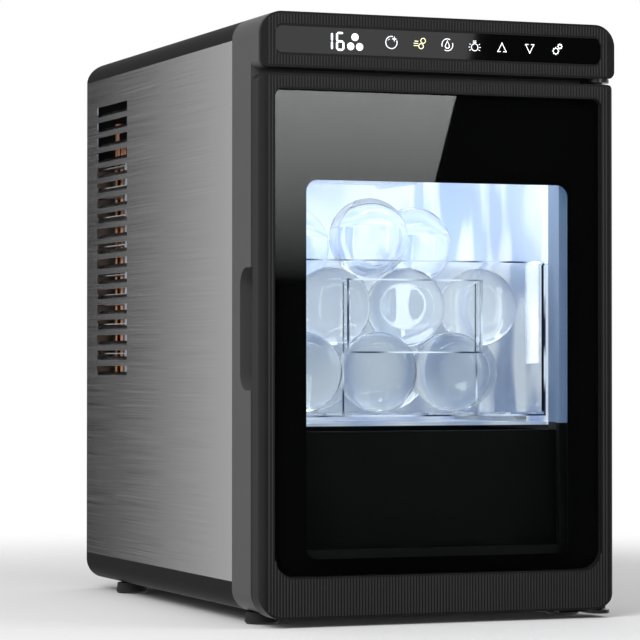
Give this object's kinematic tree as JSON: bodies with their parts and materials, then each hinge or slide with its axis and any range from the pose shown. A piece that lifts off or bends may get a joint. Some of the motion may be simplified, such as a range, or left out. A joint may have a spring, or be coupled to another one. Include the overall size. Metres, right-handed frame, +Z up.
{
  "type": "ice sphere machine",
  "caption": "Countertop machine that freezes clear ice spheres: glass door on a ribbed frame, touch strip above, lit bay with a pull-out basket, tilting mould, louvred steel sides.",
  "frame": {"origin": "on the floor under the middle of the cabinet", "axes": "+X to the right of someone facing the door, +Y to the back, +Z up"},
  "size_m": [0.26, 0.394, 0.408],
  "materials": {
    "grey_plastic": "satin moulded plastic",
    "black_plastic": "dark moulded plastic",
    "ribbed_plastic": "dark plastic with fine upright ribs",
    "brushed_steel": "steel brushed lengthwise",
    "plain_steel": "plated steel",
    "clear_glass": "clear polished glass",
    "black_print": "black print behind glass",
    "black_glass": "black glass with lit marks",
    "white_plastic": "white moulded plastic",
    "clear_plastic": "clear moulded plastic",
    "lamp": "lit cover of a white lamp",
    "clear_ice": "clear ice",
    "smoked_plastic": "smoked plastic",
    "copper": "bright copper tube",
    "aluminium": "plain aluminium",
    "black_steel": "black paint on steel",
    "rubber": "black rubber",
    "circuit_board": "green lacquered board"
  },
  "bodies": {
    "cabinet": {"base_pan": "black_plastic", "rubber_feet": "rubber", "front_frame": "grey_plastic", "top_cover": "black_plastic", "left_side_panel": "brushed_steel", "right_side_panel": "brushed_steel", "rear_panel": "black_plastic", "case_screws": "plain_steel", "power_inlet": "black_plastic", "drain_plug": "rubber", "control_fascia": "ribbed_plastic", "touch_strip": "black_glass", "control_board": "circuit_board", "upper_hinge_bracket": "plain_steel", "lower_hinge_bracket": "plain_steel", "ice_bay_liner": "white_plastic", "lamp_housing": "white_plastic", "lamp_lens": "lamp", "basket_runners": "white_plastic", "water_tank": "smoked_plastic", "evaporator": "aluminium", "evaporator_tube": "copper", "tilt_motor": "black_plastic", "water_inlet_elbow": "white_plastic", "water_hose": "clear_plastic", "pump_housing": "black_plastic", "pump_cover": "black_plastic", "compressor": "black_steel", "compressor_grommets": "rubber", "condenser_fins": "aluminium", "condenser_tube": "copper", "condenser_stand": "plain_steel", "fan_shroud": "black_plastic", "fan_motor": "black_steel", "discharge_pipe": "copper", "liquid_pipe": "copper", "suction_pipe": "copper", "main_board": "circuit_board", "board_standoffs": "white_plastic"},
    "door": {"door_frame": "ribbed_plastic", "door_glass": "clear_glass", "glass_mask": "black_print", "inner_pane": "clear_glass", "door_liner": "black_plastic", "door_gasket": "rubber", "hinge_bushes": "white_plastic"},
    "basket": {"ice_basket": "clear_plastic", "ice_spheres": "clear_ice"},
    "mould": {"mould_tray": "white_plastic", "tray_shaft": "plain_steel", "spray_manifold": "white_plastic"},
    "fan": {"fan_rotor": "black_plastic"},
    "impeller": {"pump_impeller": "white_plastic"}
  },
  "joints": [
    {"name": "door_hinge", "type": "hinge", "parent": "cabinet", "child": "door", "pos_m": [0.121, -0.188, 0.2], "axis": [0, 0, 1], "range_deg": [0, 110]},
    {"name": "basket_slide", "type": "slide", "parent": "cabinet", "child": "basket", "axis": [0, -1, 0], "range_m": [0, 0.016]},
    {"name": "mould_tilt", "type": "hinge", "parent": "cabinet", "child": "mould", "pos_m": [0, 0.094, 0.3432], "axis": [1, 0, 0], "range_deg": [0, 30]},
    {"name": "fan_spin", "type": "hinge", "parent": "cabinet", "child": "fan", "pos_m": [-0.08, 0.152, 0.246], "axis": [1, 0, 0], "continuous": true},
    {"name": "pump_spin", "type": "hinge", "parent": "cabinet", "child": "impeller", "pos_m": [-0.06, 0.006, 0.045], "axis": [0, 0, 1], "continuous": true}
  ]
}
